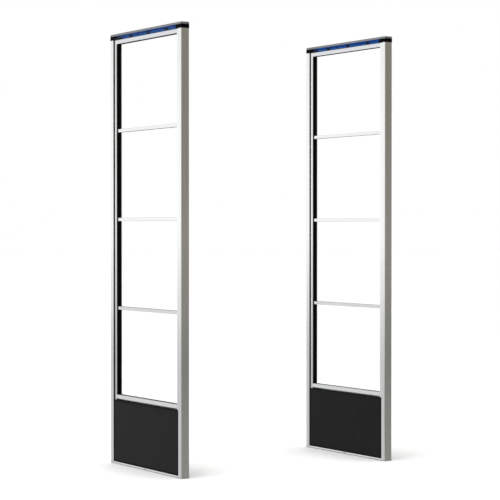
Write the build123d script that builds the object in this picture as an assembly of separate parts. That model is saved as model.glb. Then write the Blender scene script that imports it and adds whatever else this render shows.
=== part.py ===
from build123d import *
import os

# A walk-through security gate: two identical aluminium pedestals that stand either side of an aisle.
# Each pedestal is a ladder frame. Outer posts hold an inner channel with a black insert, and rails
# and crossbars join the two sides. A lamp and a cap close the top. Two covers close an electronics
# compartment at the foot.
#
# Axes: people walk along Y, X runs across the aisle, Z is up. The origin is on the floor, midway
# between the pedestals. Sizes are millimetres. "Front" is the -Y end and "rear" is the +Y end.
# Every piece is first made for a pedestal that stands at X = 0, then moved to each side.

# ---- overall ----
overall_height = 1580.0
pedestal_width = 520.0
pedestal_depth = 32.0
pedestal_pitch = 874.0
pedestals = {"left": -1, "right": 1}
ends = {"front": -1, "rear": 1}

# ---- outer posts and floor plate ----
post_face = 22.0
post_wall = 2.0
post_corner = 3.0
lip_edge = 0.6
base_thickness = 3.5
base_proud = 1.0
anchor_spacing = 300.0
anchor_hole_radius = 5.5
cable_hole_radius = 9.0

# ---- inner channels and their black inserts ----
channel_gap = 2.5
channel_wall = 2.5
channel_web = 2.0
channel_show = 16.0
channel_edge = 0.8
insert_thickness = 3.0
insert_clearance = 0.1

# ---- rails and crossbars ----
compartment_height = 236.0
finger_gap = 5.0
cover_rail_height = 14.0
top_rail_height = 15.0
rail_lap = 2.5
bar_names = ("lower", "middle", "upper")
bar_height = 12.0
bar_depth = 14.0
tube_wall = 1.5
tube_corner = 1.0
plug_length = 14.0
plug_clearance = 0.1

# ---- screws ----
screw_radius = 2.0
screw_head_radius = 3.6
screw_head_height = 2.6
screw_grip = 9.0
screw_clearance = 0.1
recess_width = 0.9
recess_depth = 1.4

# ---- lamp, end blocks and cap ----
cap_height = 8.0
cap_wall = 2.2
cap_hollow = 4.0
cap_chamfer = 1.8
cap_proud = 0.5
lamp_height = 14.0
block_proud = 0.9
block_corner = 3.0
spigot_depth = 5.0
spigot_clearance = 0.3
cap_screw_inset = 19.0
screw_seat_depth = 2.8
screw_seat_radius = 4.0
lens_inset = 0.8
lens_wall = 1.6
lens_corner = 1.5
lamp_board_width = 20.0
lamp_board_thickness = 1.2
lamp_board_margin = 4.0
holder_pitch = 130.0
holder_count = 3
holder_top_radius = 9.5
holder_tip_radius = 2.2
holder_height = 8.4
lead_pin_radius = 1.3
lead_pin_place = 74.0

# ---- sills, covers and gaskets ----
sill_height = 4.5
sill_inset = 0.5
sill_depth = 3.5
notch_width = 12.0
notch_height = 2.4
cover_recess = 1.0
cover_thickness = 3.0
cover_clearance = 0.3
cover_edge = 0.8
gasket_width = 6.0
gasket_recess = 1.4
gasket_fit = 0.4
stud_radius = 2.5
stud_length = 8.0
stud_inset_y = 20.0
stud_inset_z = 16.0
cover_travel = 120.0

# ---- chassis, board and pillars ----
chassis_thickness = 1.5
chassis_side_gap = 18.0
chassis_lift = 0.5
chassis_flange = 21.0
foot_start = 45.0
foot_length = 70.0
board_width = 190.0
board_height = 120.0
board_thickness = 1.6
board_bottom = 85.0
board_standoff = 6.0
board_pillar_radius = 3.0
board_pillar_inset = 6.0
cover_pillar_radius = 5.0
cover_pillar_gap = 5.0
stud_clearance = 0.4
stud_socket_depth = 6.0

# ---- antenna loop ----
wire_radius = 1.5
wire_bend = 12.0
wire_hole_radius = 2.2
wire_end_inset = 20.0

# ---- controls on the board ----
running_clearance = 0.05
knob_radius = 5.0
knob_height = 6.5
knob_lift = 0.4
knob_grip_count = 14
knob_grip_radius = 0.5
knob_shaft_radius = 2.0
knob_shaft_depth = 4.0
pot_side = 12.0
pot_height = 5.0
rotor_radius = 3.2
rotor_height = 1.6
rotor_shaft_radius = 1.2
rotor_shaft_depth = 2.5
rotor_lift = 0.3
trimmer_radius = 5.0
trimmer_height = 3.6
slot_width = 0.9
slot_depth = 0.8
button_radius = 1.8
button_clearance = 0.15
button_show = 2.2
button_seat = 1.4
button_travel = 1.0
button_side = 7.0
button_body_height = 4.0
switch_length = 20.0
switch_width = 13.0
switch_depth = 9.0
switch_wall = 1.6
rocker_clearance = 0.9
rocker_side_clearance = 0.3
rocker_rise = 2.2
rocker_dip = 0.7
rocker_drop = 3.0
rocker_tilt = 8.0
rocker_pin_radius = 1.0
rocker_pivot_depth = 2.2

# Places on the board, as (Y, Z) from its lower middle.
knob_place = (-18.0, 26.0)
rotor_place = (-74.0, 52.0)
button_place = (-80.0, 22.0)
switch_place = (70.0, 28.0)

# ---- levels and faces that follow from the sizes above ----
z_cap = overall_height - cap_height
z_post_top = z_cap - lamp_height
z_cover_rail = compartment_height + finger_gap
z_cover_rail_mid = z_cover_rail + cover_rail_height / 2
z_top_rail_mid = z_post_top - top_rail_height / 2
bar_pitch = (z_top_rail_mid - z_cover_rail_mid) / (len(bar_names) + 1)
bar_levels = [z_cover_rail_mid + bar_pitch * (i + 1) for i in range(len(bar_names))]
z_sill = base_thickness + sill_height

y_outer = pedestal_width / 2
y_lip = y_outer - post_face
y_mouth = y_lip - channel_show
y_web = y_outer - post_wall

x_face = pedestal_depth / 2
x_lip = x_face - post_wall
x_channel = x_lip - channel_gap
x_cavity = x_channel - channel_wall
rail_depth = 2 * (x_cavity + rail_lap)
x_cover = x_face - cover_recess
x_cover_back = x_cover - cover_thickness
x_chassis = x_cover_back - chassis_thickness
x_board_back = x_chassis - board_standoff
x_board = x_board_back - board_thickness
x_wire = x_board_back + wire_radius

y_cover = y_lip - gasket_fit - gasket_width - cover_clearance
z_cover_low = z_sill + gasket_width + cover_clearance
z_cover_high = compartment_height - gasket_width - cover_clearance
y_stud = y_cover - stud_inset_y
z_studs = (z_cover_low + stud_inset_z, z_cover_high - stud_inset_z)
y_chassis = y_lip - chassis_side_gap


def block(x, y, z):
    """A box between two limits on each axis."""
    size = [abs(b - a) for a, b in (x, y, z)]
    middle = [(a + b) / 2 for a, b in (x, y, z)]
    return Pos(*middle) * Box(*size)


def rod_x(x, y, z, radius):
    """A round bar along X between two limits."""
    return Pos((x[0] + x[1]) / 2, y, z) * Rot(0, 90, 0) * Cylinder(radius, abs(x[1] - x[0]))


def rod_y(x, y, z, radius):
    """A round bar along Y between two limits."""
    return Pos(x, (y[0] + y[1]) / 2, z) * Rot(90, 0, 0) * Cylinder(radius, abs(y[1] - y[0]))


def rod_z(x, y, z, radius):
    """A round bar along Z between two limits."""
    return Pos(x, y, (z[0] + z[1]) / 2) * Cylinder(radius, abs(z[1] - z[0]))


def long_edges(shape, axis, **limits):
    """The edges along an axis whose middle has an absolute X or Y near the stated one."""
    found = shape.edges().filter_by(axis)
    for name, value in limits.items():
        found = [e for e in found if abs(abs(getattr(e.center(), name)) - value) < 0.01]
    return found


# ---- frame ----
def make_post(end):
    """An outer post: a U-shaped extrusion that opens towards the middle of the pedestal."""
    z = (base_thickness, z_post_top)
    post = block((-x_face, x_face), (end * y_lip, end * y_outer), z)
    post = fillet(long_edges(post, Axis.Z, X=x_face, Y=y_outer), post_corner)
    post -= block((-x_lip, x_lip), (end * y_lip, end * y_web), z)
    return fillet(long_edges(post, Axis.Z, X=x_face, Y=y_lip), lip_edge)


def make_channel(end):
    """An inner channel: it nests in the post, shows beside its lips and holds the black insert."""
    z = (compartment_height, z_post_top)
    channel = block((-x_channel, x_channel), (end * y_mouth, end * y_web), z)
    channel -= block((-x_cavity, x_cavity), (end * y_mouth, end * (y_web - channel_web)), z)
    return fillet(long_edges(channel, Axis.Z, X=x_channel, Y=y_mouth), channel_edge)


def rail_places():
    """Each rail and crossbar as its height, its section's height and its section's depth."""
    places = [(z_cover_rail_mid, cover_rail_height, rail_depth)]
    places += [(z, bar_height, bar_depth) for z in bar_levels]
    places.append((z_top_rail_mid, top_rail_height, rail_depth))
    return places


def make_insert(end):
    """The black plastic strip that closes a channel's mouth, holed for rail screws and the aerial."""
    half = x_cavity - insert_clearance
    y = (end * y_mouth, end * (y_mouth + insert_thickness))
    insert = block((-half, half), y, (compartment_height, z_post_top))
    for z, _, _ in rail_places():
        insert -= rod_y(0, y, z, screw_radius + screw_clearance)
    return insert - rod_y(x_wire, y, z_top_rail_mid, wire_hole_radius)


def make_rail(z, height, depth):
    """A hollow rail or crossbar between the two channels, with rounded long edges."""
    y = (-y_mouth, y_mouth)
    rail = block((-depth / 2, depth / 2), y, (z - height / 2, z + height / 2))
    rail = fillet(rail.edges().filter_by(Axis.Y), tube_corner)
    inside = depth / 2 - tube_wall
    rise = height / 2 - tube_wall
    return rail - block((-inside, inside), y, (z - rise, z + rise))


def make_plugs():
    """Plastic plugs in the rail ends, each bored for its screw; the top pair also pass the aerial."""
    plugs = []
    for z, height, depth in rail_places():
        inside = depth / 2 - tube_wall - plug_clearance
        rise = height / 2 - tube_wall - plug_clearance
        for end in ends.values():
            y = (end * y_mouth, end * (y_mouth - plug_length))
            plug = block((-inside, inside), y, (z - rise, z + rise))
            plug -= rod_y(0, y, z, screw_radius + screw_clearance)
            if z == z_top_rail_mid:
                plug -= rod_y(x_wire, y, z, wire_hole_radius)
            plugs.append(plug)
    return plugs


def make_screw():
    """A pan-head screw that points down, with the underside of its head at the origin."""
    head = Pos(0, 0, screw_head_height / 2) * Cylinder(screw_head_radius, screw_head_height)
    head = fillet(head.edges().group_by(Axis.Z)[-1], screw_head_height / 3)
    for turn in (0, 90):
        slot = Box(screw_head_radius, recess_width, recess_depth)
        head -= Pos(0, 0, screw_head_height - recess_depth / 2) * Rot(0, 0, turn) * slot
    shank_length = insert_thickness + screw_grip
    return head + Pos(0, 0, -shank_length / 2) * Cylinder(screw_radius, shank_length)


def make_frame_screws():
    """The screws that pull the rails onto the inserts, and those that hold the cap to its blocks."""
    screw = make_screw()
    screws = []
    for end in ends.values():
        for z, _, _ in rail_places():
            screws.append(Pos(0, end * (y_mouth + insert_thickness), z) * Rot(-end * 90, 0, 0) * screw)
        seat_z = overall_height - screw_seat_depth
        screws.append(Pos(0, end * (y_outer - cap_screw_inset), seat_z) * screw)
    return screws


def make_base():
    """The floor plate, with two anchor holes and a cable hole in the middle."""
    half_x = x_face + base_proud
    half_y = y_outer + base_proud
    z = (0, base_thickness)
    base = block((-half_x, half_x), (-half_y, half_y), z)
    base = fillet(base.edges().filter_by(Axis.Z), post_corner + base_proud)
    for end in ends.values():
        base -= rod_z(0, end * anchor_spacing / 2, z, anchor_hole_radius)
    return base - rod_z(0, 0, z, cable_hole_radius)


def make_sills():
    """The two sill rails under the covers, each with a small cable notch in the middle."""
    sills = []
    for side in (-1, 1):
        x = (side * (x_face - sill_inset), side * (x_face - sill_inset - sill_depth))
        sill = block(x, (-y_lip, y_lip), (base_thickness, z_sill))
        outer = [e for e in sill.edges().filter_by(Axis.Y)
                 if e.center().Z > base_thickness + 1 and abs(e.center().X) > x_face - sill_inset - 1]
        sill = fillet(outer, sill_depth / 3)
        notch_z = (base_thickness, base_thickness + notch_height)
        sills.append(sill - block(x, (-notch_width / 2, notch_width / 2), notch_z))
    return sills


# ---- lamp and cap ----
def make_end_blocks():
    """The black blocks at the two ends of the lamp, each with a spigot into its channel."""
    blocks = []
    for end in ends.values():
        half_x = x_face + block_proud
        body = block((-half_x, half_x), (end * y_mouth, end * (y_outer + block_proud)), (z_post_top, z_cap))
        body = fillet(long_edges(body, Axis.Z, X=half_x, Y=y_outer + block_proud), block_corner)
        spigot_x = x_cavity - spigot_clearance
        near = end * (y_mouth + insert_thickness + screw_head_height + spigot_clearance)
        far = end * (y_web - channel_web - spigot_clearance)
        body += block((-spigot_x, spigot_x), (near, far), (z_post_top - spigot_depth, z_post_top))
        hole_y = end * (y_outer - cap_screw_inset)
        body -= rod_z(0, hole_y, (z_cap - screw_grip, z_cap), screw_radius + screw_clearance)
        blocks.append(body)
    return blocks


def make_cap():
    """The cap: a shallow tray, open below, with chamfered top edges and two sunk screw holes."""
    half_x = x_face + cap_proud
    half_y = y_outer + cap_proud
    cap = block((-half_x, half_x), (-half_y, half_y), (z_cap, overall_height))
    cap = fillet(cap.edges().filter_by(Axis.Z), post_corner)
    cap = chamfer(cap.edges().group_by(Axis.Z)[-1], cap_chamfer)
    inner_x = half_x - cap_wall
    for end in ends.values():
        hole_y = end * (y_outer - cap_screw_inset)
        cap -= rod_z(0, hole_y, (z_cap, overall_height), screw_radius + screw_clearance)
        cap -= rod_z(0, hole_y, (overall_height - screw_seat_depth, overall_height), screw_seat_radius)
    return cap - block((-inner_x, inner_x), (-y_mouth, y_mouth), (z_cap, z_cap + cap_hollow))


def make_lens():
    """The blue lamp tube between the end blocks."""
    half = x_face - lens_inset
    y = (-y_mouth, y_mouth)
    lens = block((-half, half), y, (z_post_top, z_cap))
    lens = fillet(lens.edges().filter_by(Axis.Y), lens_corner)
    inside = half - lens_wall
    return lens - block((-inside, inside), y, (z_post_top + lens_wall, z_cap - lens_wall))


z_lamp_board = z_cap - lens_wall - lamp_board_thickness


def make_lamp_board():
    """The strip board that hangs under the roof of the lens."""
    half_y = y_mouth - lamp_board_margin
    half_x = lamp_board_width / 2
    return block((-half_x, half_x), (-half_y, half_y), (z_lamp_board, z_lamp_board + lamp_board_thickness))


def make_lamp_holders():
    """Conical lamp holders that point down from the strip board, and the pin for its lead."""
    z_tip = z_lamp_board - holder_height
    holders = [rod_z(0, lead_pin_place, (z_tip, z_lamp_board), lead_pin_radius)]
    for i in range(holder_count):
        y = (i - (holder_count - 1) / 2) * holder_pitch
        cone = Cone(holder_tip_radius, holder_top_radius, holder_height)
        holders.append(Pos(0, y, z_tip + holder_height / 2) * cone)
    return holders


# ---- compartment ----
def make_cover(side):
    """A cover plate with softened outer edges; side is -1 for the service face, 1 for the back."""
    x = (side * x_cover, side * x_cover_back)
    cover = block(x, (-y_cover, y_cover), (z_cover_low, z_cover_high))
    outer = [f for f in cover.faces().filter_by(Axis.X) if abs(abs(f.center().X) - x_cover) < 0.01]
    return chamfer(outer[0].edges(), cover_edge)


def make_service_cover():
    """The pull-off cover and the four ball studs on its back."""
    pieces = [make_cover(-1)]
    for end in ends.values():
        for z in z_studs:
            x = (-x_cover_back, -x_cover_back + stud_length)
            stud = rod_x(x, end * y_stud, z, stud_radius)
            pieces.append(fillet(stud.edges().group_by(Axis.X)[-1], stud_radius / 2))
    return pieces


def make_gaskets():
    """The black rubber frames round the service cover and the back cover."""
    rings = []
    outer_y = y_lip - gasket_fit
    inner_y = outer_y - gasket_width
    for side in (-1, 1):
        x = (side * (x_cover - gasket_recess), side * x_cover_back)
        ring = block(x, (-outer_y, outer_y), (z_sill, compartment_height))
        ring -= block(x, (-inner_y, inner_y), (z_sill + gasket_width, compartment_height - gasket_width))
        rings.append(ring)
    return rings


def make_chassis():
    """A bent steel plate behind the board, flanged up to the cover rail and down to two feet."""
    x = (x_chassis, x_cover_back)
    z_low = z_sill + chassis_lift
    plate = block(x, (-y_chassis, y_chassis), (z_low, z_cover_rail))
    flange_x = (x_cover_back - chassis_flange, x_cover_back)
    plate += block(flange_x, (-y_chassis, y_chassis), (z_cover_rail - chassis_thickness, z_cover_rail))
    for end in ends.values():
        y = (end * foot_start, end * (foot_start + foot_length))
        plate += block(x, y, (base_thickness, z_low))
        plate += block(flange_x, y, (base_thickness, base_thickness + chassis_thickness))
    return plate


def make_board():
    """The main circuit board, on edge in front of the chassis."""
    y = (-board_width / 2, board_width / 2)
    return block((x_board, x_board_back), y, (board_bottom, board_bottom + board_height))


def make_pillars():
    """Short pillars behind the board's corners, and long socketed ones that take the cover studs."""
    pillars = []
    z_board = (board_bottom + board_pillar_inset, board_bottom + board_height - board_pillar_inset)
    for end in ends.values():
        y = end * (board_width / 2 - board_pillar_inset)
        pillars += [rod_x((x_board_back, x_chassis), y, z, board_pillar_radius) for z in z_board]
        for z in z_studs:
            x_top = -x_cover_back + cover_pillar_gap
            pillar = rod_x((x_top, x_chassis), end * y_stud, z, cover_pillar_radius)
            socket = (x_top, x_top + stud_socket_depth)
            pillars.append(pillar - rod_x(socket, end * y_stud, z, stud_radius + stud_clearance))
    return pillars


def make_antenna():
    """The aerial: one turn from the board up one side, across the top rail and down the other."""
    y_side = (y_mouth + insert_thickness + y_web - channel_web) / 2
    y_start = board_width / 2 - wire_end_inset
    z_start = board_bottom + board_height / 2
    points = [(x_wire, -y_start, z_start), (x_wire, -y_side, z_start), (x_wire, -y_side, z_top_rail_mid),
              (x_wire, y_side, z_top_rail_mid), (x_wire, y_side, z_start), (x_wire, y_start, z_start)]
    path = FilletPolyline(*points, radius=wire_bend)
    section = Plane(origin=path @ 0, z_dir=path % 0) * Circle(wire_radius)
    return sweep(section, path=path)


def on_board(place, height, y_size, z_size):
    """A block that stands out of the board's face at a place on it."""
    y, z = place[0], board_bottom + place[1]
    half_y = y_size / 2
    half_z = z_size / 2
    return block((x_board - height, x_board), (y - half_y, y + half_y), (z - half_z, z + half_z))


def can_on_board(place, height, radius):
    """A round part that stands out of the board's face at a place on it."""
    return rod_x((x_board - height, x_board), place[0], board_bottom + place[1], radius)


def make_capacitors():
    """Upright electrolytic cans, three large and two small."""
    cans = [can_on_board((y, 98), 12.0, 5.2) for y in (82, 68, 54)]
    cans += [can_on_board((y, 76), 8.0, 3.2) for y in (-8, 2)]
    return [fillet(c.edges().group_by(Axis.X)[0], 0.7) for c in cans]


def make_chips():
    """Black moulded parts: processors, driver chips, the alarm relay and the sounder."""
    chips = [on_board(place, 1.8, 20, 20) for place in ((-12, 54),)]
    chips += [on_board(place, 1.8, 9, 16) for place in ((18, 58), (34, 58), (-40, 50))]
    chips.append(on_board((30, 30), 10.0, 18, 22))
    chips.append(can_on_board((4, 100), 8.0, 9.0) - can_on_board((4, 100), 8.0, 1.6))
    return chips


def make_metal_cans():
    """The screening can, the crystal and a finned heat sink."""
    screen = on_board((-58, 92), 6.0, 46, 34)
    screen = fillet(screen.edges().filter_by(Axis.X), 2.0)
    crystal = fillet(on_board((-8, 84 - 44), 3.4, 11, 4.4).edges().filter_by(Axis.X), 2.0)
    sink = on_board((66, 66), 10.0, 34, 22)
    fin_gap = 3.0
    for i in range(5):
        y = 66 + (i - 2) * 2 * fin_gap
        gap = on_board((y, 66), 10.0, fin_gap, 22)
        sink -= Pos(-2.5, 0, 0) * gap
    return [screen, crystal, sink]


def make_terminals():
    """The screw terminal block for the supply and the aerial, at the board's lower edge."""
    body = on_board((-44, 8), 10.0, 50, 10)
    for i in range(6):
        y = -44 + (i - 2.5) * 8
        body -= rod_x((x_board - 10.0, x_board - 7.0), y, board_bottom + 8, 2.4)
    return body


# ---- controls ----
def make_control_housings():
    """The fixed bodies of the four controls, each bored or hollowed for its moving piece."""
    pot = on_board(knob_place, pot_height, pot_side, pot_side)
    pot -= control_bore(knob_place, pot_height, knob_shaft_depth + knob_lift,
                        knob_shaft_radius + running_clearance)
    trimmer = can_on_board(rotor_place, trimmer_height, trimmer_radius)
    trimmer -= control_bore(rotor_place, trimmer_height, rotor_shaft_depth + rotor_lift,
                            rotor_shaft_radius + running_clearance)
    button = on_board(button_place, button_body_height, button_side, button_side)
    button -= control_bore(button_place, button_body_height, button_seat + button_travel + button_clearance,
                           button_radius + button_clearance)
    housing = on_board(switch_place, switch_depth, switch_width, switch_length)
    hollow_y = switch_width - 2 * switch_wall
    hollow_z = switch_length - 2 * switch_wall
    housing -= Pos(-switch_wall, 0, 0) * on_board(switch_place, switch_depth, hollow_y, hollow_z)
    y, z = switch_place[0], board_bottom + switch_place[1]
    pin_y = (y - switch_width / 2, y + switch_width / 2)
    housing -= rod_y(rocker_pivot_x, pin_y, z, rocker_pin_radius + running_clearance)
    return [pot, trimmer, button, housing]


def control_bore(place, height, depth, radius):
    """A blind round hole into the face of a part that stands height out of the board."""
    x = (x_board - height, x_board - height + depth)
    return rod_x(x, place[0], board_bottom + place[1], radius)


rocker_pivot_x = x_board - switch_depth + rocker_pivot_depth


def make_knob():
    """The sensitivity knob: fluted, with a pointer slot and a shaft into its potentiometer."""
    y, z = knob_place[0], board_bottom + knob_place[1]
    x_low = x_board - pot_height - knob_lift
    x_top = x_low - knob_height
    knob = rod_x((x_top, x_low), y, z, knob_radius)
    knob = chamfer(knob.edges().group_by(Axis.X)[0], 0.6)
    for place in PolarLocations(knob_radius, knob_grip_count):
        flute = Pos((x_top + x_low) / 2, y, z) * Rot(0, 90, 0) * place
        knob -= flute * Cylinder(knob_grip_radius, knob_height)
    knob -= block((x_top, x_top + slot_depth), (y - slot_width / 2, y + slot_width / 2), (z, z + knob_radius))
    return knob + rod_x((x_low, x_low + knob_shaft_depth), y, z, knob_shaft_radius)


def make_rotor():
    """The slotted rotor of the tuning trimmer."""
    y, z = rotor_place[0], board_bottom + rotor_place[1]
    x_low = x_board - trimmer_height - rotor_lift
    x_top = x_low - rotor_height
    rotor = rod_x((x_top, x_low), y, z, rotor_radius)
    rotor -= block((x_top, x_top + slot_depth), (y - rotor_radius, y + rotor_radius),
                   (z - slot_width / 2, z + slot_width / 2))
    return rotor + rod_x((x_low, x_low + rotor_shaft_depth), y, z, rotor_shaft_radius)


def make_button():
    """The plunger of the test button."""
    y, z = button_place[0], board_bottom + button_place[1]
    x_face_of_body = x_board - button_body_height
    plunger = rod_x((x_face_of_body - button_show, x_face_of_body + button_seat), y, z, button_radius)
    return fillet(plunger.edges().group_by(Axis.X)[0], 0.4)


def make_rocker():
    """The power rocker, tilted to its rest position about its pin."""
    half = switch_length / 2 - switch_wall - rocker_clearance
    profile = Polyline((-rocker_rise, -half), (-rocker_rise + rocker_dip, 0), (-rocker_rise, half),
                       (0, half), (rocker_drop, half / 2), (rocker_drop, -half / 2), (0, -half), close=True)
    width = switch_width - 2 * switch_wall - 2 * rocker_side_clearance
    body = extrude(Plane.XZ * make_face(profile), width / 2, both=True)
    pin_half = switch_width / 2 - rocker_side_clearance
    body += rod_y(0, (-pin_half, pin_half), 0, rocker_pin_radius)
    pivot = Pos(rocker_pivot_x, switch_place[0], board_bottom + switch_place[1])
    return pivot * Rot(0, rocker_tilt, 0) * body


# ---- assembly ----
def pedestal_pieces():
    """The nodes that each pedestal has for itself, by name."""
    rails = rail_places()
    pieces = {
        "base_plate": make_base(),
        "sill_rails": make_sills(),
        "cover_rail": make_rail(*rails[0]),
        "top_rail": make_rail(*rails[-1]),
        "end_blocks": make_end_blocks(),
        "top_cap": make_cap(),
        "lamp_lens": make_lens(),
        "service_cover": make_service_cover(),
        "back_cover": make_cover(1),
        "chassis_plate": make_chassis(),
        "main_board": make_board(),
        "sensitivity_knob": make_knob(),
        "tuning_rotor": make_rotor(),
        "power_rocker": make_rocker(),
        "test_button": make_button(),
    }
    for name, end in ends.items():
        pieces[f"{name}_post"] = make_post(end)
        pieces[f"{name}_channel"] = make_channel(end)
        pieces[f"{name}_insert"] = make_insert(end)
    for name, place in zip(bar_names, rails[1:-1]):
        pieces[f"crossbar_{name}"] = make_rail(*place)
    return pieces


def shared_pieces():
    """Like pieces of both pedestals that share one node, by name."""
    return {
        "frame_screws": make_frame_screws(),
        "rail_plugs": make_plugs(),
        "lamp_boards": make_lamp_board(),
        "lamp_holders": make_lamp_holders(),
        "cover_gaskets": make_gaskets(),
        "pillars": make_pillars(),
        "antenna_loops": make_antenna(),
        "capacitors": make_capacitors(),
        "chips": make_chips(),
        "metal_cans": make_metal_cans(),
        "terminal_blocks": make_terminals(),
        "control_housings": make_control_housings(),
    }


def solids_of(piece):
    """The separate solids of one piece or of a list of pieces."""
    pieces = piece if isinstance(piece, list) else [piece]
    return [solid for p in pieces for solid in p.solids()]


def main():
    os.makedirs("parts", exist_ok=True)
    places = {name: Pos(side * pedestal_pitch / 2, 0, 0) for name, side in pedestals.items()}
    for node, piece in pedestal_pieces().items():
        for name, place in places.items():
            group = Compound(children=[place * solid for solid in solids_of(piece)])
            export_step(group, f"parts/{name}_{node}.step")
    for node, piece in shared_pieces().items():
        group = Compound(children=[place * solid for place in places.values() for solid in solids_of(piece)])
        export_step(group, f"parts/{node}.step")


main()
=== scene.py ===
import math
import bmesh
import bpy
from mathutils import Matrix, Vector


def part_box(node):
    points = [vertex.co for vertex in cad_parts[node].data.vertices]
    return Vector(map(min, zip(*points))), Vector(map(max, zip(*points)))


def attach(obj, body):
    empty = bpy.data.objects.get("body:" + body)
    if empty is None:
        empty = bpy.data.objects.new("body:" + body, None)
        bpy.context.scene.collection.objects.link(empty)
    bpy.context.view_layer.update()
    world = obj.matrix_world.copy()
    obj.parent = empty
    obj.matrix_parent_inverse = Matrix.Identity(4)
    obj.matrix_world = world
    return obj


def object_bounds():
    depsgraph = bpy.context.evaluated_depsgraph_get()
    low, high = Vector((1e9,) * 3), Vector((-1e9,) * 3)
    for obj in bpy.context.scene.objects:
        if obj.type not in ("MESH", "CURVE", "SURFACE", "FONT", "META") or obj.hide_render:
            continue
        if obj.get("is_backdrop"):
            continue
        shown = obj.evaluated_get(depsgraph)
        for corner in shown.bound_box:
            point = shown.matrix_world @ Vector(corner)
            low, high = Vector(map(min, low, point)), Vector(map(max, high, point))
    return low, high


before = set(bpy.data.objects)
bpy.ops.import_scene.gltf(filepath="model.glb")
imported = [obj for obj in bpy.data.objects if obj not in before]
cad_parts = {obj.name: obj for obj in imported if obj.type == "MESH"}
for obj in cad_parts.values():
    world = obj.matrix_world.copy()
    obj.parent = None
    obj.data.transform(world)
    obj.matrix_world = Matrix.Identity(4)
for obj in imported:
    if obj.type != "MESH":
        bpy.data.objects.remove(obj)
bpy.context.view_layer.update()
sides = ("left", "right")
ends = ("front", "rear")


# ---- Camera ----
# The gate is looked at from beyond its left front corner, a little above half its height,
# with a long lens.
camera_data = bpy.data.cameras.new("camera")
camera_data.sensor_width = 36.0
camera_data.lens = 127.3
camera_data.clip_end = 200.0
camera = bpy.data.objects.new("camera", camera_data)
bpy.context.scene.collection.objects.link(camera)
camera.location = (-3.518, -5.536, 0.863)
camera.rotation_euler = Vector((0.5355, 0.8445, -0.0117)).to_track_quat("-Z", "Y").to_euler()
bpy.context.scene.camera = camera
bpy.context.scene.view_settings.view_transform = "Standard"


# ---- Studio ----
# A wide pale floor under a soft white ceiling light. The left wall is bright, the right one is
# dim and warm, and the far one is dark, so that metal faces part in tone. Past them the
# backdrop is plain white.
floor_radius = 60.0
softbox_width = 3.0


def new_finish(name):
    """An empty material with its node tree and its main shader."""
    material = bpy.data.materials.new(name)
    material.use_nodes = True
    tree = material.node_tree
    return material, tree, tree.nodes["Principled BSDF"]


def mottle(tree, scale, stretch=(1.0, 1.0, 1.0), detail=3.0):
    """Cloudy noise on the piece's own coordinates. A stretch under 1 draws it out on that axis."""
    place = tree.nodes.new("ShaderNodeTexCoord")
    turn = tree.nodes.new("ShaderNodeMapping")
    turn.inputs["Scale"].default_value = stretch
    noise = tree.nodes.new("ShaderNodeTexNoise")
    noise.inputs["Scale"].default_value = scale
    noise.inputs["Detail"].default_value = detail
    tree.links.new(place.outputs["Object"], turn.inputs["Vector"])
    tree.links.new(turn.outputs["Vector"], noise.inputs["Vector"])
    return noise.outputs["Fac"]


def tint(tree, amount, dark, light, low=0.3, high=0.7):
    """A colour that goes from dark to light as the amount goes from low to high."""
    ramp = tree.nodes.new("ShaderNodeValToRGB")
    ramp.color_ramp.elements[0].position = low
    ramp.color_ramp.elements[0].color = (*dark, 1.0)
    ramp.color_ramp.elements[1].position = high
    ramp.color_ramp.elements[1].color = (*light, 1.0)
    tree.links.new(amount, ramp.inputs["Fac"])
    return ramp.outputs["Color"]


def spread(tree, amount, low, high):
    """A number that goes from low to high over the middle of the amount's range."""
    node = tree.nodes.new("ShaderNodeMapRange")
    node.inputs["From Min"].default_value = 0.3
    node.inputs["From Max"].default_value = 0.7
    node.inputs["To Min"].default_value = low
    node.inputs["To Max"].default_value = high
    tree.links.new(amount, node.inputs["Value"])
    return node.outputs["Result"]


def towards(tree, ray_way, direction):
    """How far a ray points in a direction, from -1 to 1."""
    node = tree.nodes.new("ShaderNodeVectorMath")
    node.operation = "DOT_PRODUCT"
    node.inputs[1].default_value = direction
    tree.links.new(ray_way, node.inputs[0])
    return node.outputs["Value"]


def share(tree, source, start, stop):
    """Goes from 0 to 1 as the source goes from start to stop."""
    span = tree.nodes.new("ShaderNodeMapRange")
    span.inputs["From Min"].default_value = start
    span.inputs["From Max"].default_value = stop
    tree.links.new(source, span.inputs["Value"])
    return span.outputs["Result"]


def shades(tree, amount, *colours):
    """Colours in even steps as the amount goes from 0 to 1."""
    ramp = tree.nodes.new("ShaderNodeValToRGB")
    stops = ramp.color_ramp.elements
    while len(stops) < len(colours):
        stops.new(0.5)
    for i, colour in enumerate(colours):
        stops[i].position = i / (len(colours) - 1)
        stops[i].color = (*colour, 1.0)
    tree.links.new(amount, ramp.inputs["Fac"])
    return ramp.outputs["Color"]


def blended(tree, amount, first, second):
    """The first colour where the amount is 0, and the second where it is 1."""
    node = tree.nodes.new("ShaderNodeMix")
    node.data_type = "RGBA"
    tree.links.new(amount, node.inputs[0])
    for socket, colour in ((node.inputs[6], first), (node.inputs[7], second)):
        if isinstance(colour, tuple):
            socket.default_value = (*colour, 1.0)
        else:
            tree.links.new(colour, socket)
    return node.outputs[2]


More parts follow.
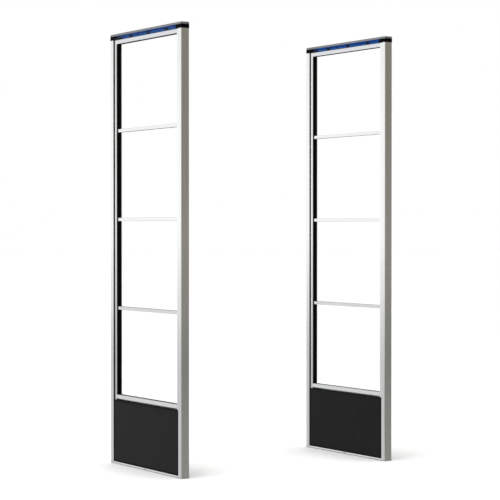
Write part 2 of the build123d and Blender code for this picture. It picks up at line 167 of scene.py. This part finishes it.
floor_mesh = bmesh.new()
bmesh.ops.create_circle(floor_mesh, cap_ends=True, segments=96, radius=floor_radius)
floor_data = bpy.data.meshes.new("floor")
floor_mesh.to_mesh(floor_data)
floor_mesh.free()
floor = bpy.data.objects.new("floor", floor_data)
bpy.context.scene.collection.objects.link(floor)
floor_finish, tree, shader = new_finish("pale_floor")
cloud = mottle(tree, 1.5)
floor_colour = tint(tree, cloud, (0.91, 0.91, 0.91), (0.94, 0.94, 0.94))
tree.links.new(floor_colour, shader.inputs["Base Color"])
tree.links.new(spread(tree, cloud, 0.5, 0.6), shader.inputs["Roughness"])
shader.inputs["Specular IOR Level"].default_value = 0.15
floor_data.materials.append(floor_finish)
floor.visible_glossy = False
floor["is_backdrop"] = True

# The walls' colours are shares of the world's strength, and each wall's run upwards.
white = (1.0, 1.0, 1.0)
backdrop = (0.5, 0.5, 0.5)
far_wall = (0.018, 0.014, 0.012)
left_wall = ((0.47, 0.475, 0.48), (0.54, 0.545, 0.55), (0.64, 0.645, 0.65), (0.45, 0.46, 0.47))
right_wall = ((0.27, 0.27, 0.25), (0.085, 0.08, 0.07), (0.12, 0.113, 0.095))

world = bpy.data.worlds.new("studio")
bpy.context.scene.world = world
world.use_nodes = True
tree = world.node_tree
glow = tree.nodes["Background"]
glow.inputs["Strength"].default_value = 2.0
ray_way = tree.nodes.new("ShaderNodeTexCoord").outputs["Generated"]
ray_kind = tree.nodes.new("ShaderNodeLightPath")
height = towards(tree, ray_way, (0.0, 0.0, 1.0))
leftward = share(tree, towards(tree, ray_way, (-0.54, 0.84, 0.0)), -0.2, 0.95)
farward = share(tree, towards(tree, ray_way, (0.54, 0.84, 0.0)), 0.72, 0.88)
bright_side = shades(tree, share(tree, height, -0.10, 0.11), *left_wall)
dim_side = shades(tree, share(tree, height, -0.14, 0.14), *right_wall)
walls = blended(tree, leftward, dim_side, bright_side)
walls = blended(tree, farward, walls, far_wall)
room = blended(tree, share(tree, height, 0.45, 0.9), walls, white)
seen = blended(tree, ray_kind.outputs["Is Camera Ray"], room, backdrop)
seen = blended(tree, ray_kind.outputs["Is Transmission Ray"], seen, backdrop)
tree.links.new(seen, glow.inputs["Color"])

softbox_data = bpy.data.lights.new("softbox", "AREA")
softbox_data.shape = "RECTANGLE"
softbox_data.size = softbox_width
softbox_data.size_y = softbox_width
softbox_data.energy = 60.0
softbox = bpy.data.objects.new("softbox", softbox_data)
softbox.location = (-3.5, -1.5, 4.2)
softbox.rotation_euler = (-softbox.location).to_track_quat("-Z", "Y").to_euler()
softbox.visible_camera = False
bpy.context.scene.collection.objects.link(softbox)


# ---- Outer posts ----
# Each side of a pedestal is a U-shaped aluminium extrusion, satin anodised. The drawing of the
# metal leaves faint lines along its length. Its colour is darker low down, as painted shade.
drawn_upwards = (900.0, 900.0, 2.5)
# The painted shade is full below the first height and gone above the second.
painted_shade_below = 0.45
unshaded_above = 0.9


def finish_nodes(material, *names):
    """Gives these frame nodes a material in place of their plain one."""
    for name in names:
        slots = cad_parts[name].data.materials
        for i in range(len(slots)):
            slots[i] = material


def relief(tree, shader, height, strength, distance):
    """Surface relief from a height pattern."""
    bump = tree.nodes.new("ShaderNodeBump")
    bump.inputs["Strength"].default_value = strength
    bump.inputs["Distance"].default_value = distance
    tree.links.new(height, bump.inputs["Height"])
    tree.links.new(bump.outputs["Normal"], shader.inputs["Normal"])


def anodised(name, painted_shade_colour, bright, stretch):
    """Satin anodised aluminium, darker low down as painted shade, drawn along the axis with the small
    stretch.
    """
    material, tree, shader = new_finish(name)
    lines = mottle(tree, 1.0, stretch)
    smudge = mottle(tree, 9.0)
    place = tree.nodes.new("ShaderNodeTexCoord")
    split = tree.nodes.new("ShaderNodeSeparateXYZ")
    smudge_and_painted_shade = tree.nodes.new("ShaderNodeMath")
    smudge_and_painted_shade.operation = "MULTIPLY_ADD"
    smudge_and_painted_shade.inputs[1].default_value = 0.12
    tree.links.new(place.outputs["Object"], split.inputs["Vector"])
    tree.links.new(smudge, smudge_and_painted_shade.inputs[0])
    tree.links.new(split.outputs["Z"], smudge_and_painted_shade.inputs[2])
    # Darker towards the bottom by height: painted shade, broken by a little random smudge.
    colour = tint(tree, smudge_and_painted_shade.outputs["Value"], painted_shade_colour, bright, low=painted_shade_below, high=unshaded_above)
    tree.links.new(colour, shader.inputs["Base Color"])
    tree.links.new(spread(tree, lines, 0.2, 0.32), shader.inputs["Roughness"])
    relief(tree, shader, lines, 0.12, 0.0002)
    shader.inputs["Metallic"].default_value = 1.0
    return material


post_finish = anodised("post_aluminium", (0.55, 0.55, 0.55), (0.86, 0.855, 0.84), drawn_upwards)
finish_nodes(post_finish, *[f"{side}_{end}_post" for side in sides for end in ends])


# ---- Inner channels ----
# A second extrusion nests in each post and shows as a bright strip beside its lips. It is the
# same anodised metal, drawn along its length, with a little less painted shade low down.
channel_finish = anodised("channel_aluminium", (0.6, 0.6, 0.61), (0.9, 0.9, 0.9), drawn_upwards)
finish_nodes(channel_finish, *[f"{side}_{end}_channel" for side in sides for end in ends])


# ---- Rails and crossbars ----
# Hollow aluminium tubes run between the channels and carry the aerial across the top. They are
# sawn from drawn stock, so the faint lines run from end to end. The crossbars get more painted shade.
drawn_across = (900.0, 2.5, 900.0)
rails = ("top_rail", "cover_rail")
crossbars = ("crossbar_lower", "crossbar_middle", "crossbar_upper")

rail_finish = anodised("rail_aluminium", (0.66, 0.66, 0.67), (0.74, 0.745, 0.76), drawn_across)
finish_nodes(rail_finish, *[f"{side}_{name}" for side in sides for name in rails])
bar_finish = anodised("crossbar_aluminium", (0.52, 0.52, 0.525), (0.83, 0.83, 0.84), drawn_across)
finish_nodes(bar_finish, *[f"{side}_{name}" for side in sides for name in crossbars])


# ---- Sill rails ----
# Two flat bars lie on the base plate under the covers. They are brushed aluminium strip, with a
# small notch in the middle for a cable.
brushed_across = (900.0, 3.0, 900.0)
sill_finish = anodised("sill_aluminium", (0.74, 0.74, 0.74), (0.9, 0.9, 0.9), brushed_across)
finish_nodes(sill_finish, *[f"{side}_sill_rails" for side in sides])


# ---- Inserts ----
# A black extruded strip closes the mouth of each channel. It is matt vinyl with a fine drawn
# grain, and it is held only by the rail screws.
def moulded(name, dark, light, grain_scale, rough, strength=0.2, shine=0.5):
    """Moulded or extruded plastic with a fine surface grain and a slightly uneven gloss."""
    material, tree, shader = new_finish(name)
    grain = mottle(tree, grain_scale, detail=4.0)
    smudge = mottle(tree, 14.0)
    tree.links.new(tint(tree, smudge, dark, light), shader.inputs["Base Color"])
    tree.links.new(spread(tree, smudge, rough - 0.05, rough + 0.05), shader.inputs["Roughness"])
    relief(tree, shader, grain, strength, 0.0003)
    shader.inputs["Specular IOR Level"].default_value = shine
    return material


insert_dark = (0.001, 0.001, 0.001)
insert_light = (0.002, 0.002, 0.002)
insert_finish = moulded("insert_vinyl", insert_dark, insert_light, 1500.0, 0.6, shine=0.04)
finish_nodes(insert_finish, *[f"{side}_{end}_insert" for side in sides for end in ends])


# ---- Rail plugs ----
# Plugs in the ends of the rails grip the rail screws. They are injection moulded in natural
# white nylon and pressed in before the rail goes between the channels.
plug_finish = moulded("plug_nylon", (0.55, 0.54, 0.5), (0.68, 0.67, 0.62), 900.0, 0.5)
finish_nodes(plug_finish, "rail_plugs")


# ---- Screws ----
# Zinc-plated pan-head screws hold the rails and the cap. The plating is bright and slightly
# mottled.
def plated(name, dark, light, rough):
    """Bright plated metal with a mottled coat."""
    material, tree, shader = new_finish(name)
    cloud = mottle(tree, 220.0)
    tree.links.new(tint(tree, cloud, dark, light), shader.inputs["Base Color"])
    tree.links.new(spread(tree, cloud, rough - 0.07, rough + 0.07), shader.inputs["Roughness"])
    relief(tree, shader, cloud, 0.05, 0.0001)
    shader.inputs["Metallic"].default_value = 1.0
    return material


screw_finish = plated("screw_zinc", (0.55, 0.56, 0.56), (0.72, 0.72, 0.7), 0.3)
finish_nodes(screw_finish, "frame_screws")


# ---- Base plates ----
# A thick steel plate carries each pedestal and is bolted to the floor. It is powder coated grey,
# which shows a fine orange-peel surface.
base_dark = (0.3, 0.3, 0.31)
base_light = (0.36, 0.36, 0.37)
base_finish = moulded("base_powder_coat", base_dark, base_light, 500.0, 0.45, strength=0.25)
finish_nodes(base_finish, *[f"{side}_base_plate" for side in sides])


# ---- Lamp lens ----
# A tube of translucent blue acrylic fills the length of the pedestal's top between the end
# blocks. Lamps above it shine down through it when the alarm goes off.
lens_pale = (0.5, 0.66, 0.85)
# The deep blue is painted shadow of the cap, laid on the top of the tube.
lens_painted_shadow_blue = (0.004, 0.12, 0.4)

lens_finish, tree, shader = new_finish("lens_acrylic")
cloud = mottle(tree, 30.0, (1.0, 0.4, 3.0))
low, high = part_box("left_lamp_lens")
place = tree.nodes.new("ShaderNodeTexCoord")
split = tree.nodes.new("ShaderNodeSeparateXYZ")
tree.links.new(place.outputs["Object"], split.inputs["Vector"])
# The blue deepens towards the top by height: painted shadow of the cap, with a little random cloud.
rise = share(tree, split.outputs["Z"], low.z, high.z)
depth = tree.nodes.new("ShaderNodeMath")
depth.operation = "MULTIPLY_ADD"
depth.inputs[1].default_value = 0.12
tree.links.new(cloud, depth.inputs[0])
tree.links.new(rise, depth.inputs[2])
colour = tint(tree, depth.outputs["Value"], lens_pale, lens_painted_shadow_blue, low=0.3, high=0.62)
tree.links.new(colour, shader.inputs["Base Color"])
tree.links.new(spread(tree, cloud, 0.0, 0.02), shader.inputs["Roughness"])
shader.inputs["Transmission Weight"].default_value = 1.0
shader.inputs["IOR"].default_value = 1.12
shader.inputs["Specular IOR Level"].default_value = 0.08
finish_nodes(lens_finish, *[f"{side}_lamp_lens" for side in sides])


# ---- Lamp boards and holders ----
# A white strip board hangs under the roof of the lens, and its whole face gives a faint blue
# glow, which is painted light. Black conical holders on it carry the lamps and point down.
painted_glow_blue = (0.2, 0.5, 1.0, 1.0)
holder_dark = (0.004, 0.004, 0.005)
holder_light = (0.01, 0.01, 0.012)

board_finish = moulded("lamp_board_mask", (0.62, 0.62, 0.6), (0.72, 0.72, 0.7), 600.0, 0.4)
shader = board_finish.node_tree.nodes["Principled BSDF"]
# Painted glow: a faint blue emission over the whole board face.
shader.inputs["Emission Color"].default_value = painted_glow_blue
shader.inputs["Emission Strength"].default_value = 0.22
finish_nodes(board_finish, "lamp_boards")
holder_finish = moulded("lamp_holder_black", holder_dark, holder_light, 900.0, 0.5)
finish_nodes(holder_finish, "lamp_holders")


# ---- End blocks ----
# Black moulded blocks close the ends of the lamp and carry the cap. They have a low sheen, with
# a faint sink and flow pattern from the mould.
block_finish = moulded("end_block_black", (0.001, 0.001, 0.0015), (0.002, 0.002, 0.004), 80.0, 0.35,
                       strength=0.05, shine=0.012)
finish_nodes(block_finish, *[f"{side}_end_blocks" for side in sides])


# ---- Top caps ----
# A shallow metal tray closes the top of each pedestal. It is painted a satin metallic grey, and
# dust and cleaning leave it slightly cloudy.
def painted(name, dark, light, rough):
    """Satin metallic paint: fine orange peel, cloudy with dust and wiping."""
    material, tree, shader = new_finish(name)
    cloud = mottle(tree, 11.0)
    peel = mottle(tree, 700.0, detail=2.0)
    tree.links.new(tint(tree, cloud, dark, light), shader.inputs["Base Color"])
    tree.links.new(spread(tree, cloud, rough - 0.06, rough + 0.06), shader.inputs["Roughness"])
    relief(tree, shader, peel, 0.12, 0.0002)
    shader.inputs["Metallic"].default_value = 0.6
    return material


cap_finish = painted("cap_paint", (0.19, 0.19, 0.205), (0.23, 0.23, 0.245), 0.38)
finish_nodes(cap_finish, *[f"{side}_top_cap" for side in sides])


# ---- Covers ----
# The electronics compartment is closed by black moulded panels with softened edges. Their faces
# have a fine leathered grain and pick up faint wipe marks.
cover_dark = (0.0046, 0.0046, 0.0048)
cover_light = (0.0082, 0.0082, 0.0088)
covers = ("service_cover", "back_cover")
cover_finish = moulded("cover_black", cover_dark, cover_light, 700.0, 0.45, strength=0.3, shine=0.06)
finish_nodes(cover_finish, *[f"{side}_{name}" for side in sides for name in covers])


# ---- Cover gaskets ----
# A black rubber frame seals round each cover. It sits back from the cover's face, so it reads as
# a dark shadow line, and its near-black colour is partly painted shade for that gap.
# Near black and darker than the cover: a rubber seal, partly painted shade for the gap round the cover.
gasket_dark = (0.002, 0.002, 0.002)
gasket_light = (0.004, 0.004, 0.004)
gasket_finish = moulded("gasket_rubber", gasket_dark, gasket_light, 900.0, 0.75, shine=0.15)
finish_nodes(gasket_finish, "cover_gaskets")


# ---- Chassis plates ----
# A bent steel plate carries the board and the pillars. It is zinc plated, with the spangle of
# hot-dipped sheet.
chassis_finish = plated("chassis_zinc", (0.42, 0.44, 0.45), (0.6, 0.61, 0.6), 0.38)
finish_nodes(chassis_finish, *[f"{side}_chassis_plate" for side in sides])


# ---- Pillars ----
# Brass pillars hold the board off the plate and take the cover's studs. They are turned from
# bar and left bare.
finish_nodes(plated("pillar_brass", (0.55, 0.4, 0.15), (0.75, 0.58, 0.25), 0.25), "pillars")


# ---- Main boards ----
# The circuit board is glass-filled laminate under green solder mask. Copper tracks show as
# slightly lighter and raised lines, which run upright in some regions and along in others.
track_scale = 100.0
mask_green = (0.008, 0.1, 0.035)
track_green = (0.02, 0.19, 0.07)
quarter = math.radians(90.0)


def track_runs(tree, rotation):
    """Where parallel tracks run, as 1 on a track and 0 off it."""
    place = tree.nodes.new("ShaderNodeTexCoord")
    turn = tree.nodes.new("ShaderNodeMapping")
    turn.inputs["Rotation"].default_value = rotation
    runs = tree.nodes.new("ShaderNodeTexBrick")
    runs.offset = 0.37
    runs.inputs["Scale"].default_value = track_scale
    runs.inputs["Mortar Size"].default_value = 0.022
    runs.inputs["Mortar Smooth"].default_value = 0.2
    runs.inputs["Brick Width"].default_value = 3.4
    runs.inputs["Row Height"].default_value = 0.21
    tree.links.new(place.outputs["Object"], turn.inputs["Vector"])
    tree.links.new(turn.outputs["Vector"], runs.inputs["Vector"])
    return runs.outputs["Fac"]


def combined(tree, operation, first, second):
    """Two numbers put together by a plain sum or product."""
    node = tree.nodes.new("ShaderNodeMath")
    node.operation = operation
    tree.links.new(first, node.inputs[0])
    tree.links.new(second, node.inputs[1])
    return node.outputs["Value"]


mask_finish, tree, shader = new_finish("board_mask")
region = spread(tree, mottle(tree, 26.0, detail=0.0), -2.0, 3.0)
here = tree.nodes.new("ShaderNodeClamp")
tree.links.new(region, here.inputs["Value"])
elsewhere = tree.nodes.new("ShaderNodeMath")
elsewhere.operation = "SUBTRACT"
elsewhere.inputs[0].default_value = 1.0
tree.links.new(here.outputs["Result"], elsewhere.inputs[1])
along = track_runs(tree, (0.0, quarter, quarter))
along = combined(tree, "MULTIPLY", along, here.outputs["Result"])
upright = track_runs(tree, (0.0, quarter, 0.0))
upright = combined(tree, "MULTIPLY", upright, elsewhere.outputs["Value"])
copper = combined(tree, "ADD", along, upright)
colour = tint(tree, copper, mask_green, track_green, low=0.1, high=0.9)
tree.links.new(colour, shader.inputs["Base Color"])
tree.links.new(spread(tree, mottle(tree, 40.0), 0.25, 0.4), shader.inputs["Roughness"])
relief(tree, shader, copper, 0.3, 0.0001)
finish_nodes(mask_finish, *[f"{side}_main_board" for side in sides])


# ---- Board components ----
# Sleeved capacitors, moulded chips, tinned cans and the screw terminals are soldered to the
# board's face, and each control stands in a grey housing.
sleeve_finish = moulded("capacitor_sleeve", (0.012, 0.014, 0.04), (0.02, 0.022, 0.06), 300.0, 0.3)
chip_finish = moulded("chip_resin", (0.01, 0.01, 0.01), (0.018, 0.018, 0.018), 1200.0, 0.55)
can_finish = plated("can_tin", (0.6, 0.6, 0.6), (0.75, 0.75, 0.74), 0.3)
terminal_finish = moulded("terminal_green", (0.02, 0.26, 0.08), (0.03, 0.34, 0.11), 500.0, 0.35)
housing_finish = moulded("housing_grey", (0.05, 0.05, 0.055), (0.075, 0.075, 0.08), 900.0, 0.45)
finish_nodes(sleeve_finish, "capacitors")
finish_nodes(chip_finish, "chips")
finish_nodes(can_finish, "metal_cans")
finish_nodes(terminal_finish, "terminal_blocks")
finish_nodes(housing_finish, "control_housings")


# ---- Chip legs ----
# Each chip is soldered by bent legs of tinned copper strip. A leg leaves the resin partway up,
# turns down to the board and ends in a short foot.
leg_width = 0.0006
leg_thickness = 0.0003
leg_rise = 0.001
leg_knee = 0.0008
leg_toe = 0.0017
square_chip = (-0.012, 0.054)
square_half = 0.01
square_legs = 12
square_pitch = 0.0015
row_chips = ((0.018, 0.058), (0.034, 0.058), (-0.040, 0.050))
row_half = 0.0045
row_legs = 8
row_pitch = 0.0018
leg_finish = plated("leg_tin", (0.62, 0.62, 0.6), (0.8, 0.8, 0.78), 0.28)


def add_piece(name, mesh, body, *materials):
    """Closes a mesh off as a named piece that rides on a body."""
    bmesh.ops.recalc_face_normals(mesh, faces=mesh.faces)
    data = bpy.data.meshes.new(name)
    mesh.to_mesh(data)
    mesh.free()
    for material in materials:
        data.materials.append(material)
    piece = bpy.data.objects.new(name, data)
    bpy.context.scene.collection.objects.link(piece)
    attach(piece, body)
    return piece


def on_board(side, y, z, out=0.0):
    """A point on the board's face, from its lower middle, that stands out by a distance."""
    low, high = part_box(f"{side}_main_board")
    return Vector((low.x - out, (low.y + high.y) / 2 + y, low.z + z))


def only_verts(geometry):
    """The vertices in what an operator gives back."""
    return [v for v in geometry if isinstance(v, bmesh.types.BMVert)]


def push_outline(mesh, outline, along):
    """A closed outline pushed along a vector to make a bar."""
    face = mesh.faces.new([mesh.verts.new(point) for point in outline])
    pushed = bmesh.ops.extrude_face_region(mesh, geom=[face])["geom"]
    bmesh.ops.translate(mesh, vec=along, verts=only_verts(pushed))


def add_leg(mesh, root, outward, across):
    """One bent leg: root is on the board under the chip's edge."""
    up = Vector((-1.0, 0.0, 0.0))
    skin = leg_thickness
    steps = ((0.0, leg_rise), (leg_knee, leg_rise), (leg_knee, skin), (leg_toe, skin))
    steps += ((leg_toe, 0.0), (leg_knee - skin, 0.0))
    steps += ((leg_knee - skin, leg_rise - skin), (0.0, leg_rise - skin))
    start = root - across * leg_width / 2
    push_outline(mesh, [start + outward * out + up * high for out, high in steps], across * leg_width)


for side in sides:
    legs = bmesh.new()
    for way in (-1.0, 1.0):
        outward_y = Vector((0.0, way, 0.0))
        outward_z = Vector((0.0, 0.0, way))
        for i in range(square_legs):
            step = (i - (square_legs - 1) / 2) * square_pitch
            y, z = square_chip
            root = on_board(side, y + way * square_half, z + step)
            add_leg(legs, root, outward_y, Vector((0.0, 0.0, 1.0)))
            root = on_board(side, y + step, z + way * square_half)
            add_leg(legs, root, outward_z, Vector((0.0, 1.0, 0.0)))
        for y, z in row_chips:
            for i in range(row_legs):
                step = (i - (row_legs - 1) / 2) * row_pitch
                root = on_board(side, y + way * row_half, z + step)
                add_leg(legs, root, outward_y, Vector((0.0, 0.0, 1.0)))
    add_piece(f"{side}_chip_legs", legs, "gate", leg_finish)


# ---- Small surface parts ----
# Rows of ceramic resistors and capacitors sit on the board between the larger parts. Each is a
# small block with a dark or tan body between two tinned ends.
part_height = 0.0009
part_width = 0.0016
part_body = 0.0022
part_end = 0.0005
column_step = 0.0055
row_step = 0.0042
# Each row block: where its first part is, in y and z, and its columns and rows.
part_rows = ((-0.030, 0.030, 5, 2), (-0.034, 0.072, 4, 2), (0.016, 0.078, 6, 2), (0.044, 0.030, 2, 4))
resistor_finish = moulded("resistor_black", (0.015, 0.015, 0.015), (0.03, 0.03, 0.03), 900.0, 0.35)
ceramic_finish = moulded("ceramic_tan", (0.3, 0.19, 0.1), (0.4, 0.27, 0.15), 900.0, 0.4)
part_finishes = (resistor_finish, ceramic_finish, leg_finish)


def add_surface_part(mesh, middle, body_finish):
    """A small block in three lengths, of which the outer two are tinned."""
    before = set(mesh.faces)
    reach = (part_body + part_end) / 2
    lengths = ((-reach, part_end, leg_finish), (0.0, part_body, body_finish), (reach, part_end, leg_finish))
    for offset, length, finish in lengths:
        size = Matrix.Diagonal((part_height, length, part_width, 1.0))
        where = Matrix.Translation(middle + Vector((0.0, offset, 0.0))) @ size
        bmesh.ops.create_cube(mesh, size=1.0, matrix=where)
        for face in set(mesh.faces) - before:
            face.material_index = part_finishes.index(finish)
        before = set(mesh.faces)


for side in sides:
    parts = bmesh.new()
    for y, z, columns, rows in part_rows:
        for i in range(columns):
            for j in range(rows):
                middle = on_board(side, y + i * column_step, z + j * row_step, part_height / 2)
                body_finish = ceramic_finish if (i + j) % 3 == 0 else resistor_finish
                add_surface_part(parts, middle, body_finish)
    add_piece(f"{side}_surface_parts", parts, "gate", *part_finishes)


# ---- Capacitor tops ----
# The aluminium can shows at the top of each sleeved capacitor, dished at the rim and scored with
# a cross so that it can vent.
lid_thickness = 0.0003
dish_depth = 0.0001
score_lift = 0.00012
score_width = 0.0003
score_height = 0.0002
# Shares of the can's radius: the lid's foot and top, its raised rim, and the scored lines.
foot_share = 0.82
top_share = 0.78
rim_share = 0.12
score_share = 1.2
# Each capacitor: its place in y and z, its height and its radius.
can_places = ((0.082, 0.098, 0.012, 0.0052), (0.068, 0.098, 0.012, 0.0052))
can_places += ((0.054, 0.098, 0.012, 0.0052), (-0.008, 0.076, 0.008, 0.0032))
can_places += ((0.002, 0.076, 0.008, 0.0032),)
facing_out = Matrix.Rotation(math.radians(-90.0), 4, "Y")
top_finish = plated("capacitor_top", (0.66, 0.66, 0.66), (0.8, 0.8, 0.8), 0.25)


def once_each(elements):
    """The elements without repeats, in the order in which they come."""
    return list(dict.fromkeys(elements))


def add_disc(mesh, where, segments, foot_radius, top_radius, thickness):
    """A round disc or stub, which tapers a little towards its top. Gives its vertices."""
    made = bmesh.ops.create_cone(mesh, cap_ends=True, segments=segments, radius1=foot_radius,
                                 radius2=top_radius, depth=thickness, matrix=where)
    return made["verts"]


for side in sides:
    tops = bmesh.new()
    for y, z, tall, radius in can_places:
        where = Matrix.Translation(on_board(side, y, z, tall)) @ facing_out
        made = add_disc(tops, where, 32, radius * foot_share, radius * top_share, lid_thickness)
        faces = once_each(f for v in made for f in v.link_faces)
        lid = min(faces, key=lambda f: f.calc_center_median().x)
        bmesh.ops.inset_individual(tops, faces=[lid], thickness=radius * rim_share, depth=-dish_depth)
        for turn in (45.0, 135.0):
            score = where @ Matrix.Translation((0.0, 0.0, score_lift))
            score = score @ Matrix.Rotation(math.radians(turn), 4, "Z")
            score = score @ Matrix.Diagonal((radius * score_share, score_width, score_height, 1.0))
            bmesh.ops.create_cube(tops, size=1.0, matrix=score)
    add_piece(f"{side}_capacitor_tops", tops, "gate", top_finish)


# ---- Terminal screws ----
# Slotted brass screws clamp the supply and aerial wires in the terminal block. Each stands in its
# own hole, a little below the block's face.
terminal_middle = (-0.044, 0.008)
terminal_count = 6
terminal_pitch = 0.008
head_out = 0.0078
head_foot = 0.0021
head_top = 0.0019
head_thickness = 0.0012
head_turn = 20.0
cheek_radius = 0.0018
cheek_offset = 0.0010
cheek_top = 0.0009
cheek_depth = 0.0005
slot_half = 0.0003
brass_finish = plated("terminal_brass", (0.6, 0.47, 0.2), (0.78, 0.63, 0.3), 0.3)


def add_cheek(mesh, where, way):
    """One raised half of a screw's head: a disc cut along the slot and pushed inwards."""
    middle = where @ Matrix.Translation((0.0, way * cheek_offset, cheek_top))
    made = bmesh.ops.create_circle(mesh, cap_ends=True, segments=28, radius=cheek_radius,
                                   matrix=middle)["verts"]
    faces = once_each(f for v in made for f in v.link_faces)
    edges = once_each(e for v in made for e in v.link_edges)
    cut = where @ Vector((0.0, way * slot_half, 0.0))
    side_on = (where.to_3x3() @ Vector((0.0, -way, 0.0))).normalized()
    kept = bmesh.ops.bisect_plane(mesh, geom=made + edges + faces, plane_co=cut, plane_no=side_on,
                                  clear_outer=True)
    half = [f for f in kept["geom"] if isinstance(f, bmesh.types.BMFace)]
    raised = bmesh.ops.extrude_face_region(mesh, geom=half)["geom"]
    out = (where.to_3x3() @ Vector((0.0, 0.0, 1.0))) * cheek_depth
    bmesh.ops.translate(mesh, vec=-out, verts=only_verts(raised))


for side in sides:
    screws = bmesh.new()
    for i in range(terminal_count):
        y, z = terminal_middle
        middle = on_board(side, y + (i - (terminal_count - 1) / 2) * terminal_pitch, z, head_out)
        turned = Matrix.Rotation(math.radians(head_turn * i), 4, "Z")
        where = Matrix.Translation(middle) @ facing_out @ turned
        add_disc(screws, where, 28, head_foot, head_top, head_thickness)
        for way in (-1.0, 1.0):
            add_cheek(screws, where, way)
    add_piece(f"{side}_terminal_screws", screws, "gate", brass_finish)


# ---- Status lights ----
# Three small lamps on the board show power, alarm and tuning. Each is a clear coloured dome on a
# round flange.
light_place = (0.048, 0.008)
light_step = 0.007
flange_radius = 0.0019
flange_height = 0.0008
dome_radius = 0.0015
dome_height = 0.0030
dome_out = 0.0020
dome_rounding = 0.0012


def dome_finish(name, colour):
    """Clear tinted epoxy with a faint cloudiness."""
    material, tree, shader = new_finish(name)
    cloud = mottle(tree, 400.0)
    shade = tuple(0.7 * c for c in colour)
    tree.links.new(tint(tree, cloud, shade, colour), shader.inputs["Base Color"])
    tree.links.new(spread(tree, cloud, 0.08, 0.14), shader.inputs["Roughness"])
    shader.inputs["Coat Weight"].default_value = 0.5
    return material


light_finishes = [dome_finish("light_green", (0.05, 0.6, 0.1))]
light_finishes.append(dome_finish("light_red", (0.65, 0.03, 0.02)))
light_finishes.append(dome_finish("light_amber", (0.75, 0.35, 0.02)))

for side in sides:
    domes = bmesh.new()
    for i in range(len(light_finishes)):
        before = set(domes.faces)
        y = light_place[0] + i * light_step
        z = light_place[1]
        foot = Matrix.Translation(on_board(side, y, z, flange_height / 2)) @ facing_out
        add_disc(domes, foot, 24, flange_radius, flange_radius, flange_height)
        stem = Matrix.Translation(on_board(side, y, z, dome_out)) @ facing_out
        made = add_disc(domes, stem, 24, dome_radius, dome_radius, dome_height)
        edges = once_each(e for v in made for e in v.link_edges)
        rim = [e for e in edges if all(v.co.x < stem.translation.x for v in e.verts)]
        bmesh.ops.bevel(domes, geom=rim, offset=dome_rounding, offset_type="OFFSET", affect="EDGES",
                        segments=5, profile=0.5, material=-1)
        for face in set(domes.faces) - before:
            face.material_index = i
            face.smooth = True
    add_piece(f"{side}_status_lights", domes, "gate", *light_finishes)


# ---- Cable grommets ----
# A rubber ring lines the cable hole in each base plate, so that the steel can't cut the cable.
# Its lip laps the top of the plate.
grommet_inside = 0.0078
grommet_waist = 0.0089
grommet_lip = 0.0106
grommet_crown = 0.0084
grommet_dark = (0.004, 0.004, 0.004)
grommet_light = (0.008, 0.008, 0.008)
grommet_finish = moulded("grommet_rubber", grommet_dark, grommet_light, 700.0, 0.6, shine=0.2)

for side in sides:
    low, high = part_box(f"{side}_base_plate")
    middle = Vector(((low.x + high.x) / 2, (low.y + high.y) / 2, 0.0))
    ring = bmesh.new()
    outline = ((grommet_inside, 0.0004), (grommet_waist, 0.0004), (grommet_waist, high.z + 0.0001))
    outline += ((grommet_lip, high.z + 0.0002), (grommet_lip, high.z + 0.0014))
    outline += ((grommet_crown, high.z + 0.0016), (grommet_inside, high.z + 0.0010))
    section = [ring.verts.new(middle + Vector((radius, 0.0, z))) for radius, z in outline]
    loop = [ring.edges.new((section[i], section[(i + 1) % len(section)])) for i in range(len(section))]
    bmesh.ops.spin(ring, geom=section + loop, cent=middle, axis=(0.0, 0.0, 1.0), angle=math.tau,
                   steps=40, use_merge=True)
    bmesh.ops.remove_doubles(ring, verts=ring.verts, dist=0.00001)
    add_piece(f"{side}_cable_grommet", ring, "gate", grommet_finish)


# ---- Antenna loops ----
# One turn of stranded wire in a red sleeve runs up one side, across the top rail and down the
# other.
sleeve_red = moulded("antenna_sleeve", (0.3, 0.02, 0.015), (0.42, 0.03, 0.02), 400.0, 0.35)
finish_nodes(sleeve_red, "antenna_loops")


# ---- Controls ----
# The fitter sets the gate with a fluted white knob, a brass trimmer rotor, a red power rocker
# and a dark test button.
knob_finish = moulded("knob_white", (0.62, 0.62, 0.58), (0.74, 0.74, 0.7), 800.0, 0.4)
rotor_finish = plated("rotor_brass", (0.6, 0.45, 0.18), (0.8, 0.62, 0.28), 0.22)
rocker_finish = moulded("rocker_red", (0.38, 0.01, 0.01), (0.5, 0.02, 0.015), 500.0, 0.25)
button_finish = moulded("button_dark", (0.02, 0.02, 0.025), (0.035, 0.035, 0.04), 700.0, 0.4)

for side in sides:
    finish_nodes(knob_finish, f"{side}_sensitivity_knob")
    finish_nodes(rotor_finish, f"{side}_tuning_rotor")
    finish_nodes(rocker_finish, f"{side}_power_rocker")
    finish_nodes(button_finish, f"{side}_test_button")


# ---- Finish ----
# The box round the shown objects is measured, leaving out the floor.
low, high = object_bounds()
